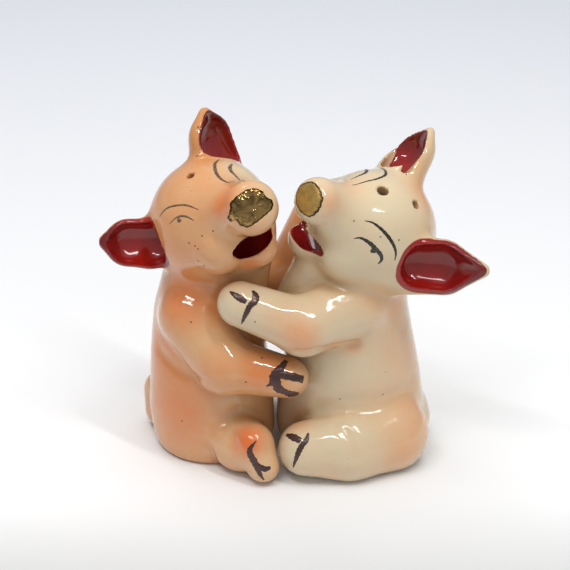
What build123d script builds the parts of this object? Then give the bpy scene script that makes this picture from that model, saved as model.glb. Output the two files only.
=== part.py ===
from build123d import *
import math
import os

# Salt and pepper shakers: a pair of glazed ceramic pigs that sit face to face
# and hug. Millimetres, +Z up. The salt pig sits on the -X side, the pepper pig
# on the +X side, and -Y is the front of the pair. Z = 0 is the table.

# ---------------------------------------------------------------- dimensions
SHIFT = (-1.935, 1.10, 0.0)         # moves the modelling origin to the box centre
WALL = 3.0                       # thickness of the slip-cast wall
FLOOR = 3.0                      # thickness of the base
FILLER_R = 7.0                   # filler hole in the base
CORK_R_OUT = 6.96                # cork, outer end
CORK_R_IN = 6.60                 # cork, inner end
CORK_LENGTH = 10.0
CORK_RECESS = 0.6                # the cork sits this far above the table
JOINT_STEP = 0.08                # each next limb segment starts this much thinner

# head frames: columns forward, side (to the far ear on salt, the near ear on
# pepper) and up, and the centre of the skull
SALT_HEAD_C = (-14.6, -1.3, 53.4)
SALT_HEAD_F = (0.415, -0.785, 0.460)
SALT_HEAD_S = (0.643, 0.610, 0.462)
PEPPER_HEAD_C = (18.6, -2.6, 51.6)
PEPPER_HEAD_F = (-0.717, -0.495, 0.491)
PEPPER_HEAD_S = (0.182, -0.813, -0.553)
SKULL_R = 12.9
SALT_MUZZLE = ((4.0, 0.0, -0.3), (14.0, 0.0, 0.8))
PEPPER_MUZZLE = ((4.0, 0.0, 0.4), (14.0, 0.0, 2.0))
SALT_JAW = ((2.0, 0.0, -6.0), (10.5, 0.0, -9.0))
PEPPER_JAW = ((2.0, 0.0, -6.0), (10.5, 0.0, -9.0))
SALT_CHEEKS = ((7.2, -6.2, -3.4), (7.2, 6.2, -3.4))
PEPPER_CHEEKS = ((7.2, -6.2, -3.4), (7.2, 6.2, -3.4))
CHEEK_R = 5.2

# seated bodies: height, centre x, centre y, half width, half depth
SALT_TORSO = [
    (0.0, -15.2, 0.2, 12.3, 12.4), (3.0, -15.6, 0.2, 13.1, 13.2), (9.0, -16.0, 0.2, 13.3, 13.4),
    (23.0, -16.0, 0.3, 12.6, 12.6), (33.0, -16.2, 0.4, 11.4, 11.2), (38.0, -16.0, 0.2, 10.2, 10.0),
    (42.0, -15.7, 0.0, 9.5, 9.3), (45.0, -15.4, -0.2, 8.2, 8.0), (47.4, -15.2, -0.3, 5.6, 5.5), (48.4, -15.2, -0.3, 2.6, 2.6)]
PEPPER_TORSO = [
    (0.0, 15.9, -0.8, 14.6, 14.2), (3.0, 16.0, -0.6, 15.3, 14.9), (9.0, 15.4, -0.4, 15.5, 14.6),
    (18.0, 14.9, -0.3, 14.8, 13.8), (27.0, 14.2, -0.2, 13.7, 12.6), (34.0, 14.3, -0.4, 12.3, 11.4),
    (38.0, 15.4, -0.6, 10.9, 10.6), (42.0, 16.3, -0.9, 9.8, 9.6), (45.0, 16.9, -1.2, 8.4, 8.2),
    (47.4, 17.2, -1.4, 5.8, 5.7), (48.4, 17.3, -1.5, 2.6, 2.6)]

# swellings of throat, chest and belly: two centres and two radii
SALT_BULGES = []
PEPPER_BULGES = []

# limbs: rows of (centre, radius)
SALT_NEAR_ARM = [((-19.2, -6.0, 33.5), 6.6), ((-12.3, -12.2, 25.0), 6.0), ((1.1, -13.0, 22.2), 4.35)]
SALT_FAR_ARM = [((-10.0, 8.0, 34.5), 5.5), ((0.5, 10.5, 35.0), 4.8), ((6.0, 10.5, 48.5), 4.3)]
SALT_NEAR_LEG = [((-15.0, -4.0, 6.5), 8.0), ((-8.8, -12.5, 5.6), 5.6), ((-6.2, -16.4, 8.0), 3.9), ((-4.2, -18.3, 3.6), 3.5)]
SALT_FAR_LEG = [((-14.0, 6.0, 6.0), 7.5), ((-6.5, 13.5, 5.2), 4.8)]
SALT_TAIL = [((-26.2, 5.5, 3.8), 4.6), ((-26.8, 6.0, 8.6), 4.2)]
PEPPER_NEAR_ARM = [((15.0, -6.5, 36.5), 7.2), ((4.2, -13.4, 34.6), 5.8), ((-8.8, -14.0, 40.2), 4.75)]
PEPPER_FAR_ARM = [((14.0, 8.0, 30.0), 5.8), ((4.5, 13.6, 22.6), 4.9), ((-6.5, 15.3, 21.9), 4.4)]
PEPPER_NEAR_LEG = [((22.5, -9.0, 6.5), 9.0), ((14.0, -13.6, 6.2), 7.8), ((4.9, -16.0, 6.6), 5.9)]
PEPPER_FAR_LEG = [((14.2, 8.2, 6.5), 6.7), ((5.0, 13.7, 5.3), 4.8)]
PEPPER_TAIL = [((27.0, 1.0, 4.5), 5.5), ((27.0, 1.5, 6.5), 5.0)]


# ears: base, tip, the way the scoop faces, half widths at base, middle and tip,
# where the middle lies, thickness ratio, rim and scoop offsets
SALT_NEAR_EAR = dict(base=(-27.62, -4.0, 49.13), tip=(-38.07, -6.0, 50.55), n=(0.22, -0.88, 0.30), rb=5.4, rm=4.9, rt=1.9, tm=0.42, rim=0.9, dw=0.0, dn=1.7)
SALT_FAR_EAR = dict(base=(-13.8, 6.5, 62.12), tip=(-16.6, 9.0, 74.25), n=(0.78, -0.50, 0.35), rb=7.2, rm=5.9, rt=2.0, tm=0.42, rim=1.3, dw=-0.7, dn=1.9)
PEPPER_NEAR_EAR = dict(base=(24.92, -9.5, 47.1), tip=(41.92, -15.5, 48.49), n=(0.10, -0.93, 0.10), rb=6.6, rm=5.9, rt=1.6, tm=0.45, rim=1.4, dw=0.6, dn=2.0)
PEPPER_FAR_EAR = dict(base=(24.4, 5.0, 60.2), tip=(31.39, 9.0, 69.67), n=(-0.80, -0.25, 0.50), rb=6.8, rm=5.3, rt=1.6, tm=0.42, rim=0.9, dw=0.0, dn=1.9)
EAR_FLAT = 0.62
SCOOP_FLAT = 0.75

# snouts: tip, axis, radius, length, edge radius
SALT_SNOUT = ((-5.3, -18.2, 63.9), (0.27, -0.86, 0.43), 5.7, 9.0, 1.2)
PEPPER_SNOUT = ((4.5, -14.2, 63.97), (-0.70, -0.58, 0.42), 4.9, 9.0, 1.0)

# mouths: centre of the upper lip, the way it runs, the way it opens, half length, depth, height
SALT_MOUTH = ((-7.02, -13.5, 54.48), (0.80, 0.20, 0.52), (0.40, -0.80, 0.20), 6.2, 2.2, 4.0)
PEPPER_MOUTH = ((5.15, -8.5, 52.54), (0.25, -0.62, -0.74), (-0.85, -0.35, 0.10), 5.8, 2.2, 4.2)

# pour holes in the crown: direction from the skull centre in the head frame, radius
SALT_POURS = [((0.497, 0.032, 0.867), 0.75), ((-0.34, 0.46, 0.82), 0.9), ((-0.42, -0.34, 0.84), 0.9)]
PEPPER_POURS = [((0.559, -0.122, 0.820), 1.15), ((-0.046, -0.568, 0.822), 0.9), ((0.016, 0.085, 0.996), 0.9)]


# ---------------------------------------------------------------- helpers
def at(p):
    return Vector(p[0] + SHIFT[0], p[1] + SHIFT[1], p[2] + SHIFT[2])


def head_frame(c, f, s):
    """A plane whose x is forward, y is the side direction and z is up through the crown."""
    f = Vector(*f).normalized()
    s = Vector(*s)
    s = (s - f * f.dot(s)).normalized()
    return Plane(origin=at(c), x_dir=f, z_dir=f.cross(s))


def local(frame, p):
    return frame.from_local_coords(Vector(*p))


def round_cone(a, b, ra, rb):
    """The space that a ball sweeps as it goes from a to b and its radius goes from ra to rb."""
    axis = (b - a)
    length = axis.length
    axis = axis.normalized()
    side = Vector(1, 0, 0) if abs(axis.X) < 0.8 else Vector(0, 1, 0)
    side = (side - axis * axis.dot(side)).normalized()
    s = (ra - rb) / length
    c = math.sqrt(1 - s * s)
    mid_a = (math.asin(s) - math.pi / 2) / 2
    mid_b = (math.asin(s) + math.pi / 2) / 2
    with BuildPart() as body:
        with BuildSketch(Plane(origin=a, x_dir=side, z_dir=side.cross(axis))):
            with BuildLine():
                ThreePointArc((0, -ra), (ra * math.cos(mid_a), ra * math.sin(mid_a)), (ra * c, ra * s))
                Line((ra * c, ra * s), (rb * c, length + rb * s))
                ThreePointArc((rb * c, length + rb * s), (rb * math.cos(mid_b), length + rb * math.sin(mid_b)), (0, length + rb))
                Line((0, length + rb), (0, -ra))
            make_face()
        revolve(axis=Axis(a, axis))
    return body.part


def limb(rows):
    """Round cones end to end through a row of centres, cut off at the table."""
    pieces = []
    for i, ((a, ra), (b, rb)) in enumerate(zip(rows[:-1], rows[1:])):
        pieces.append(round_cone(at(a), at(b), ra - (JOINT_STEP if i else 0.0), rb))
    with BuildPart() as body:
        for piece in pieces:
            add(piece)
        if min(c[2] - r for c, r in rows) < 0.01:
            split(bisect_by=Plane.XY, keep=Keep.TOP)
    return body.part


def barrel(rows):
    """A loft through level ellipses."""
    with BuildPart() as body:
        for z, cx, cy, a, b in rows:
            with BuildSketch(Plane(origin=at((cx, cy, z)), x_dir=(1, 0, 0), z_dir=(0, 0, 1))):
                Ellipse(a, b)
        loft()
    return body.part


def leaf(base, tip, normal, stations, shift=(0.0, 0.0)):
    """A pointed leaf: ellipses strung along the line from base to tip.
    stations are (distance from base, half width, half thickness)."""
    base = at(base)
    tip = at(tip)
    axis = (tip - base).normalized()
    n = Vector(*normal)
    n = (n - axis * axis.dot(n)).normalized()
    w = n.cross(axis)
    with BuildPart() as body:
        for t, half_w, half_n in stations:
            o = base + axis * t + w * shift[0] + n * shift[1]
            with BuildSketch(Plane(origin=o, x_dir=w, z_dir=axis)):
                Ellipse(half_w, half_n)
        loft()
    return body.part


def ear_stations(length, rb, rm, rt, tm, flat, start=-4.0, grow=0.0, end=0.0):
    """Half widths of an ear that is rb wide at the head, rm wide part way and rt at the tip."""
    L = length - rt - end
    rows = [(start, 0.80 * (rb - grow), 0.80 * (rb - grow) * flat), (start * 0.3, 0.97 * (rb - grow), 0.97 * (rb - grow) * flat),
            (tm * length * 0.5, (rb + rm) / 2 - grow, ((rb + rm) / 2 - grow) * flat),
            (tm * length, rm - grow, (rm - grow) * flat)]
    for k in (0.55,):
        t = tm * length + (L - tm * length) * k
        r = rm + (rt - rm) * k - grow * 0.9
        rows.append((t, r, r * flat))
    rt2 = max(rt - grow * 0.7, 0.4)
    rows.append((L, rt2, rt2 * flat))
    rows.append((L + rt2 * 0.7, rt2 * 0.71, rt2 * 0.71 * flat))
    rows.append((L + rt2 * 0.97, rt2 * 0.24, rt2 * 0.24 * flat))
    return rows


def distance(a, b):
    return math.dist(a, b)


# ---------------------------------------------------------------- outer forms
salt_frame = head_frame(SALT_HEAD_C, SALT_HEAD_F, SALT_HEAD_S)
pepper_frame = head_frame(PEPPER_HEAD_C, PEPPER_HEAD_F, PEPPER_HEAD_S)


def head_form(frame, muzzle_line, muzzle_r, jaw_line, jaw_r, cheeks):
    muzzle = round_cone(local(frame, muzzle_line[0]), local(frame, muzzle_line[1]), *muzzle_r)
    jaw = round_cone(local(frame, jaw_line[0]), local(frame, jaw_line[1]), *jaw_r)
    with BuildPart() as body:
        with Locations(frame.origin):
            Sphere(SKULL_R)
        add(muzzle)
        add(jaw)
        with Locations(local(frame, cheeks[0]), local(frame, cheeks[1])):
            Sphere(CHEEK_R)
    return body.part


def torso_form(rows, bulges):
    main = barrel(rows)
    swellings = [round_cone(at(a), at(b), ra, rb) for a, b, ra, rb in bulges]
    with BuildPart() as body:
        add(main)
        for swelling in swellings:
            add(swelling)
    return body.part


salt_torso_form = torso_form(SALT_TORSO, SALT_BULGES)
pepper_torso_form = torso_form(PEPPER_TORSO, PEPPER_BULGES)
salt_head_form = head_form(salt_frame, SALT_MUZZLE, (9.3, 5.6), SALT_JAW, (7.5, 4.0), SALT_CHEEKS)
pepper_head_form = head_form(pepper_frame, PEPPER_MUZZLE, (9.3, 5.0), PEPPER_JAW, (7.5, 4.0), PEPPER_CHEEKS)


# ---------------------------------------------------------------- hollow inside
def hollow_form(torso_rows, frame, neck):
    rows = []
    for z, cx, cy, a, b in torso_rows:
        if FLOOR < z <= 38.0:
            rows.append((z, cx, cy, a - WALL, b - WALL))
    z, cx, cy, a, b = torso_rows[1]
    rows.insert(0, (FLOOR, cx, cy, a - WALL - 0.4, b - WALL - 0.4))
    chamber = barrel(rows)
    throat = round_cone(at(neck[0]), frame.origin, neck[1], SKULL_R - WALL)
    with BuildPart() as body:
        add(chamber)
        add(throat)
    return body.part


SALT_NECK = ((-15.9, 0.1, 35.0), 6.8)
PEPPER_NECK = ((15.2, -0.6, 35.0), 7.2)
salt_hollow = hollow_form(SALT_TORSO, salt_frame, SALT_NECK)
pepper_hollow = hollow_form(PEPPER_TORSO, pepper_frame, PEPPER_NECK)
SALT_BORE = (SALT_TORSO[0][1], SALT_TORSO[0][2])
PEPPER_BORE = (PEPPER_TORSO[0][1], PEPPER_TORSO[0][2])


def bore(centre, radius, z0, z1):
    with BuildPart() as body:
        with BuildSketch(Plane(origin=at((centre[0], centre[1], z0)))):
            Circle(radius)
        extrude(amount=z1 - z0)
    return body.part


salt_filler = bore(SALT_BORE, FILLER_R, -1.0, FLOOR + 1.5)
pepper_filler = bore(PEPPER_BORE, FILLER_R, -1.0, FLOOR + 1.5)


# ---------------------------------------------------------------- face details
def pour_hole(frame, direction, radius):
    """A drilled hole from the hollow skull out through the crown."""
    d = local(frame, direction) - frame.origin
    d = d.normalized()
    with BuildPart() as body:
        with BuildSketch(Plane(origin=frame.origin + d * (SKULL_R - WALL - 2.0), z_dir=d)):
            Circle(radius)
        extrude(amount=WALL + 5.0)
    return body.part


def mouth_form(centre, along, out, half_length, depth, height):
    """The open mouth: a half disc under a straight upper lip, sunk into the muzzle."""
    c = at(centre)
    along = Vector(*along).normalized()
    out = Vector(*out)
    out = (out - along * along.dot(out)).normalized()
    with BuildPart() as body:
        with BuildSketch(Plane(origin=c - out * depth, x_dir=along, z_dir=out)):
            with BuildLine():
                ThreePointArc((half_length, 0), (0, -height), (-half_length, 0))
                Line((-half_length, 0), (half_length, 0))
            make_face()
        extrude(amount=depth + 8.0)
    return body.part


def snout_form(tip, axis, radius, length, edge):
    a = Vector(*axis).normalized()
    with BuildPart() as body:
        with BuildSketch(Plane(origin=at(tip), z_dir=a * -1)):
            Circle(radius)
        extrude(amount=length)
        fillet(body.faces().sort_by(Axis(at(tip), a))[-1].edges(), edge)
    return body.part


def ear_form(e):
    length = distance(e["base"], e["tip"])
    return leaf(e["base"], e["tip"], e["n"], ear_stations(length, e["rb"], e["rm"], e["rt"], e["tm"], EAR_FLAT))


def scoop_form(e):
    length = distance(e["base"], e["tip"])
    rows = ear_stations(length, e["rb"], e["rm"], e["rt"], e["tm"], SCOOP_FLAT, grow=e["rim"], end=0.2)[2:]
    r = e["rb"] - e["rim"]
    start = [(-1.4, 0.46 * r, 0.46 * r * SCOOP_FLAT), (-0.6, 0.80 * r, 0.80 * r * SCOOP_FLAT)]
    return leaf(e["base"], e["tip"], e["n"], start + rows, shift=(e["dw"], e["dn"]))


salt_near_ear_form = ear_form(SALT_NEAR_EAR)
salt_far_ear_form = ear_form(SALT_FAR_EAR)
pepper_near_ear_form = ear_form(PEPPER_NEAR_EAR)
pepper_far_ear_form = ear_form(PEPPER_FAR_EAR)
salt_near_scoop = scoop_form(SALT_NEAR_EAR)
salt_far_scoop = scoop_form(SALT_FAR_EAR)
pepper_near_scoop = scoop_form(PEPPER_NEAR_EAR)
pepper_far_scoop = scoop_form(PEPPER_FAR_EAR)
salt_mouth = mouth_form(*SALT_MOUTH)
pepper_mouth = mouth_form(*PEPPER_MOUTH)
salt_snout_form = snout_form(*SALT_SNOUT)
pepper_snout_form = snout_form(*PEPPER_SNOUT)
salt_pours = [pour_hole(salt_frame, d, r) for d, r in SALT_POURS]
pepper_pours = [pour_hole(pepper_frame, d, r) for d, r in PEPPER_POURS]
limb_forms = {}
for name, rows in (("salt_near_arm", SALT_NEAR_ARM), ("salt_far_arm", SALT_FAR_ARM),
                   ("salt_near_leg", SALT_NEAR_LEG), ("salt_far_leg", SALT_FAR_LEG), ("salt_tail", SALT_TAIL),
                   ("pepper_near_arm", PEPPER_NEAR_ARM), ("pepper_far_arm", PEPPER_FAR_ARM),
                   ("pepper_near_leg", PEPPER_NEAR_LEG), ("pepper_far_leg", PEPPER_FAR_LEG), ("pepper_tail", PEPPER_TAIL)):
    limb_forms[name] = limb(rows)


# ---------------------------------------------------------------- salt pig
with BuildPart() as salt_torso_shell:
    add(salt_torso_form)
    add(salt_hollow, mode=Mode.SUBTRACT)
    add(salt_filler, mode=Mode.SUBTRACT)

with BuildPart() as salt_head_shell:
    add(salt_head_form)
    add(salt_torso_form, mode=Mode.SUBTRACT)
    add(salt_mouth, mode=Mode.SUBTRACT)
    add(salt_near_scoop, mode=Mode.SUBTRACT)
    add(salt_far_scoop, mode=Mode.SUBTRACT)
    add(salt_hollow, mode=Mode.SUBTRACT)
    for hole in salt_pours:
        add(hole, mode=Mode.SUBTRACT)

with BuildPart() as salt_snout:
    add(salt_snout_form)
    add(salt_head_form, mode=Mode.SUBTRACT)

with BuildPart() as salt_near_ear:
    add(salt_near_ear_form)
    add(salt_near_scoop, mode=Mode.SUBTRACT)
    add(salt_head_form, mode=Mode.SUBTRACT)
    add(salt_torso_form, mode=Mode.SUBTRACT)

with BuildPart() as salt_far_ear:
    add(salt_far_ear_form)
    add(salt_far_scoop, mode=Mode.SUBTRACT)
    add(salt_head_form, mode=Mode.SUBTRACT)

with BuildPart() as salt_near_arm:
    add(limb_forms["salt_near_arm"])
    add(salt_torso_form, mode=Mode.SUBTRACT)
    add(salt_head_form, mode=Mode.SUBTRACT)

with BuildPart() as salt_far_arm:
    add(limb_forms["salt_far_arm"])
    add(salt_torso_form, mode=Mode.SUBTRACT)
    add(salt_head_form, mode=Mode.SUBTRACT)

with BuildPart() as salt_near_leg:
    add(limb_forms["salt_near_leg"])
    add(salt_torso_form, mode=Mode.SUBTRACT)

with BuildPart() as salt_far_leg:
    add(limb_forms["salt_far_leg"])
    add(salt_torso_form, mode=Mode.SUBTRACT)

with BuildPart() as salt_tail:
    add(limb_forms["salt_tail"])
    add(salt_torso_form, mode=Mode.SUBTRACT)
    add(limb_forms["salt_far_leg"], mode=Mode.SUBTRACT)

# ---------------------------------------------------------------- pepper pig
with BuildPart() as pepper_torso_shell:
    add(pepper_torso_form)
    add(pepper_hollow, mode=Mode.SUBTRACT)
    add(pepper_filler, mode=Mode.SUBTRACT)

with BuildPart() as pepper_head_shell:
    add(pepper_head_form)
    add(pepper_torso_form, mode=Mode.SUBTRACT)
    add(pepper_mouth, mode=Mode.SUBTRACT)
    add(pepper_near_scoop, mode=Mode.SUBTRACT)
    add(pepper_far_scoop, mode=Mode.SUBTRACT)
    add(pepper_hollow, mode=Mode.SUBTRACT)
    for hole in pepper_pours:
        add(hole, mode=Mode.SUBTRACT)

with BuildPart() as pepper_snout:
    add(pepper_snout_form)
    add(pepper_head_form, mode=Mode.SUBTRACT)

with BuildPart() as pepper_near_ear:
    add(pepper_near_ear_form)
    add(pepper_near_scoop, mode=Mode.SUBTRACT)
    add(pepper_head_form, mode=Mode.SUBTRACT)
    add(pepper_torso_form, mode=Mode.SUBTRACT)
    add(limb_forms["pepper_near_arm"], mode=Mode.SUBTRACT)

with BuildPart() as pepper_far_ear:
    add(pepper_far_ear_form)
    add(pepper_far_scoop, mode=Mode.SUBTRACT)
    add(pepper_head_form, mode=Mode.SUBTRACT)

with BuildPart() as pepper_near_arm:
    add(limb_forms["pepper_near_arm"])
    add(pepper_torso_form, mode=Mode.SUBTRACT)
    add(pepper_head_form, mode=Mode.SUBTRACT)

with BuildPart() as pepper_far_arm:
    add(limb_forms["pepper_far_arm"])
    add(pepper_torso_form, mode=Mode.SUBTRACT)
    add(pepper_head_form, mode=Mode.SUBTRACT)

with BuildPart() as pepper_near_leg:
    add(limb_forms["pepper_near_leg"])
    add(pepper_torso_form, mode=Mode.SUBTRACT)

with BuildPart() as pepper_far_leg:
    add(limb_forms["pepper_far_leg"])
    add(pepper_torso_form, mode=Mode.SUBTRACT)

with BuildPart() as pepper_tail:
    add(limb_forms["pepper_tail"])
    add(pepper_torso_form, mode=Mode.SUBTRACT)
    add(limb_forms["pepper_far_leg"], mode=Mode.SUBTRACT)
    add(limb_forms["pepper_near_leg"], mode=Mode.SUBTRACT)


# ---------------------------------------------------------------- corks
def cork(centre):
    """A tapered cork with a softened outer edge, a little above the table."""
    with BuildPart() as body:
        with BuildSketch(Plane(origin=at((centre[0], centre[1], CORK_RECESS)))):
            Circle(CORK_R_OUT)
        with BuildSketch(Plane(origin=at((centre[0], centre[1], CORK_RECESS + 2.6)))):
            Circle(CORK_R_OUT - 0.03)
        loft()
        with BuildSketch(Plane(origin=at((centre[0], centre[1], CORK_RECESS + 2.6)))):
            Circle(CORK_R_OUT - 0.03)
        with BuildSketch(Plane(origin=at((centre[0], centre[1], CORK_RECESS + CORK_LENGTH)))):
            Circle(CORK_R_IN)
        loft()
    return body.part


with BuildPart() as salt_stopper:
    add(cork(SALT_BORE))

with BuildPart() as pepper_stopper:
    add(cork(PEPPER_BORE))

# ---------------------------------------------------------------- export
NODES = [
    ("salt_torso_shell", salt_torso_shell), ("salt_head_shell", salt_head_shell), ("salt_snout", salt_snout),
    ("salt_near_ear", salt_near_ear), ("salt_far_ear", salt_far_ear), ("salt_near_arm", salt_near_arm),
    ("salt_far_arm", salt_far_arm), ("salt_near_leg", salt_near_leg), ("salt_far_leg", salt_far_leg),
    ("salt_tail", salt_tail), ("salt_stopper", salt_stopper),
    ("pepper_torso_shell", pepper_torso_shell), ("pepper_head_shell", pepper_head_shell), ("pepper_snout", pepper_snout),
    ("pepper_near_ear", pepper_near_ear), ("pepper_far_ear", pepper_far_ear), ("pepper_near_arm", pepper_near_arm),
    ("pepper_far_arm", pepper_far_arm), ("pepper_near_leg", pepper_near_leg), ("pepper_far_leg", pepper_far_leg),
    ("pepper_tail", pepper_tail), ("pepper_stopper", pepper_stopper)]
os.makedirs("parts", exist_ok=True)
for name, node in NODES:
    node.part.label = name
    export_step(node.part, "parts/" + name + ".step")
    box = node.part.bounding_box()
    print(name, "solids", len(node.part.solids()), "volume", round(node.part.volume, 1),
          "x %.2f..%.2f y %.2f..%.2f z %.2f..%.2f" % (box.min.X, box.max.X, box.min.Y, box.max.Y, box.min.Z, box.max.Z))
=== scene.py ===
"""Salt and pepper shakers: two glazed ceramic pigs that hug.

Each pig is one fired casting, so each is sculpted here as one closed skin with its
hollow, pour holes and filler hole. Metres in the row frame; the sculpting itself is in
millimetres, in a frame that is the row frame moved by -SHIFT.
"""
import math

import bpy
import numpy as np
from mathutils import Matrix, Vector


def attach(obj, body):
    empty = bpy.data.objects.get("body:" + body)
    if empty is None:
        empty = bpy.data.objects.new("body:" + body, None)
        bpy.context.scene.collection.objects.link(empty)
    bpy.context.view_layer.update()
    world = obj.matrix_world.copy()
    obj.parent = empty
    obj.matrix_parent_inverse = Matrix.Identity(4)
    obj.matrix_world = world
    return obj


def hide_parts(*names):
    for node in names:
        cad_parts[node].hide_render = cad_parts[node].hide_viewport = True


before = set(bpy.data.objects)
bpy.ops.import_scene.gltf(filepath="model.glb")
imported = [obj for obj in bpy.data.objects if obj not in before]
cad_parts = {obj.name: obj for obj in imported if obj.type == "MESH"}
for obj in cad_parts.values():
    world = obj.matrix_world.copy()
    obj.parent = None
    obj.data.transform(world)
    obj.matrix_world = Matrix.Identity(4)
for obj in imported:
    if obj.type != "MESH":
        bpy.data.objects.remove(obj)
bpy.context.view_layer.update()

# ------------------------------------------------------------------ sculpting kit
# <sculpt>
SHIFT = np.array([-1.935, 1.10, 0.0])


def A(*v):
    return np.array(v, dtype=np.float32)


def unit(v):
    v = np.asarray(v, float)
    return v / np.linalg.norm(v)


def axes_of(a, n):
    """Columns: along a, across, and n made square to a."""
    a = unit(a)
    n = np.asarray(n, float)
    n = unit(n - a * (n @ a))
    return np.stack([a, np.cross(n, a), n], 1).astype(np.float32)


def head_axes(f, s):
    f = unit(f)
    s = np.asarray(s, float)
    s = unit(s - f * (s @ f))
    return np.stack([f, s, np.cross(f, s)], 1).astype(np.float32)


def smin(a, b, k):
    h = np.maximum(k - np.abs(a - b), 0) / k
    return np.minimum(a, b) - h * h * h * k * (1 / 6.0)


def smax(a, b, k):
    return -smin(-a, -b, k)


def ball(P, c, r):
    q = P - A(*c)
    return np.sqrt((q * q).sum(1)) - r


def ellipsoid(P, c, r, M=None):
    q = P - A(*c)
    if M is not None:
        q = q @ M
    r = A(*r)
    k0 = np.sqrt(((q / r) ** 2).sum(1))
    k1 = np.sqrt(((q / (r * r)) ** 2).sum(1))
    return k0 * (k0 - 1) / np.maximum(k1, 1e-6)


def cone(P, a, b, r1, r2):
    """Distance to the space a ball sweeps from a to b as its radius goes from r1 to r2."""
    a = A(*a)
    b = A(*b)
    ba = b - a
    l2 = float(ba @ ba)
    rr = r1 - r2
    a2 = l2 - rr * rr
    il2 = 1.0 / l2
    pa = P - a
    y = pa @ ba
    z = y - l2
    x = pa * l2 - y[:, None] * ba[None]
    x2 = (x * x).sum(1)
    y2 = y * y * l2
    z2 = z * z * l2
    k = np.sign(rr) * rr * rr * x2
    out = (np.sqrt(x2 * a2 * il2) + y * rr) * il2 - r1
    out = np.where(np.sign(y) * a2 * y2 < k, np.sqrt(x2 + y2) * il2 - r1, out)
    out = np.where(np.sign(z) * a2 * z2 > k, np.sqrt(x2 + z2) * il2 - r2, out)
    return out.astype(np.float32)


def chain(P, pts, k=2.0):
    d = None
    for (a, ra), (b, rb) in zip(pts[:-1], pts[1:]):
        e = cone(P, a, b, ra, rb)
        d = e if d is None else smin(d, e, k)
    return d


def smooth_rows(rows, n=64, passes=5):
    """Rows of (z, cx, cy, a, b) resampled evenly in z and eased."""
    r = np.array(rows, float)
    z = np.linspace(r[0, 0], r[-1, 0], n)
    cols = [np.interp(z, r[:, 0], r[:, i]) for i in range(1, 5)]
    for _ in range(passes):
        for c in cols:
            c[1:-1] = 0.25 * c[:-2] + 0.5 * c[1:-1] + 0.25 * c[2:]
    return np.stack([z] + cols, 1)


def barrel(P, rows, inset=0.0):
    z = np.clip(P[:, 2], rows[0, 0], rows[-1, 0])
    cx = np.interp(z, rows[:, 0], rows[:, 1])
    cy = np.interp(z, rows[:, 0], rows[:, 2])
    a = np.interp(z, rows[:, 0], rows[:, 3]) - inset
    b = np.interp(z, rows[:, 0], rows[:, 4]) - inset
    x = P[:, 0] - cx
    y = P[:, 1] - cy
    k0 = np.sqrt((x / a) ** 2 + (y / b) ** 2)
    k1 = np.sqrt((x / a ** 2) ** 2 + (y / b ** 2) ** 2)
    d = np.where(k0 < 0.2, -np.minimum(a, b) * (1 - k0), k0 * (k0 - 1) / np.maximum(k1, 1e-6))
    return (d * 0.95).astype(np.float32)


def ear(P, base, tip, n, rb, rm, rt, tm=0.5, flat=0.62, rim=0.9, dn=1.6, fl2=0.75, s0=0.0, ws=0.0, rs=None, dw=0.0):
    """A pinna and its scoop: two distances. s0, ws and rs place the scoop's inner end."""
    base = np.array(base, float)
    tip = np.array(tip, float)
    L = float(np.linalg.norm(tip - base))
    q = (P - A(*base)) @ axes_of(tip - base, n)
    m = (tm * L, 0, 0)
    rs = rb - rim if rs is None else rs
    qs = q / A(1, 1, flat)
    o = smin(cone(qs, (0, 0, 0), m, rb, rm), cone(qs, m, (L - rt, 0, 0), rm, rt), 0.8) * flat
    q2 = (q - A(0, dw, dn)) / A(1, 1, fl2)
    s = smin(cone(q2, (s0, ws, 0), m, rs, rm - rim), cone(q2, m, (L - rt - 0.1, 0, 0), rm - rim, max(rt - rim * 0.7, 0.35)), 0.8) * fl2
    return o, s


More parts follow.
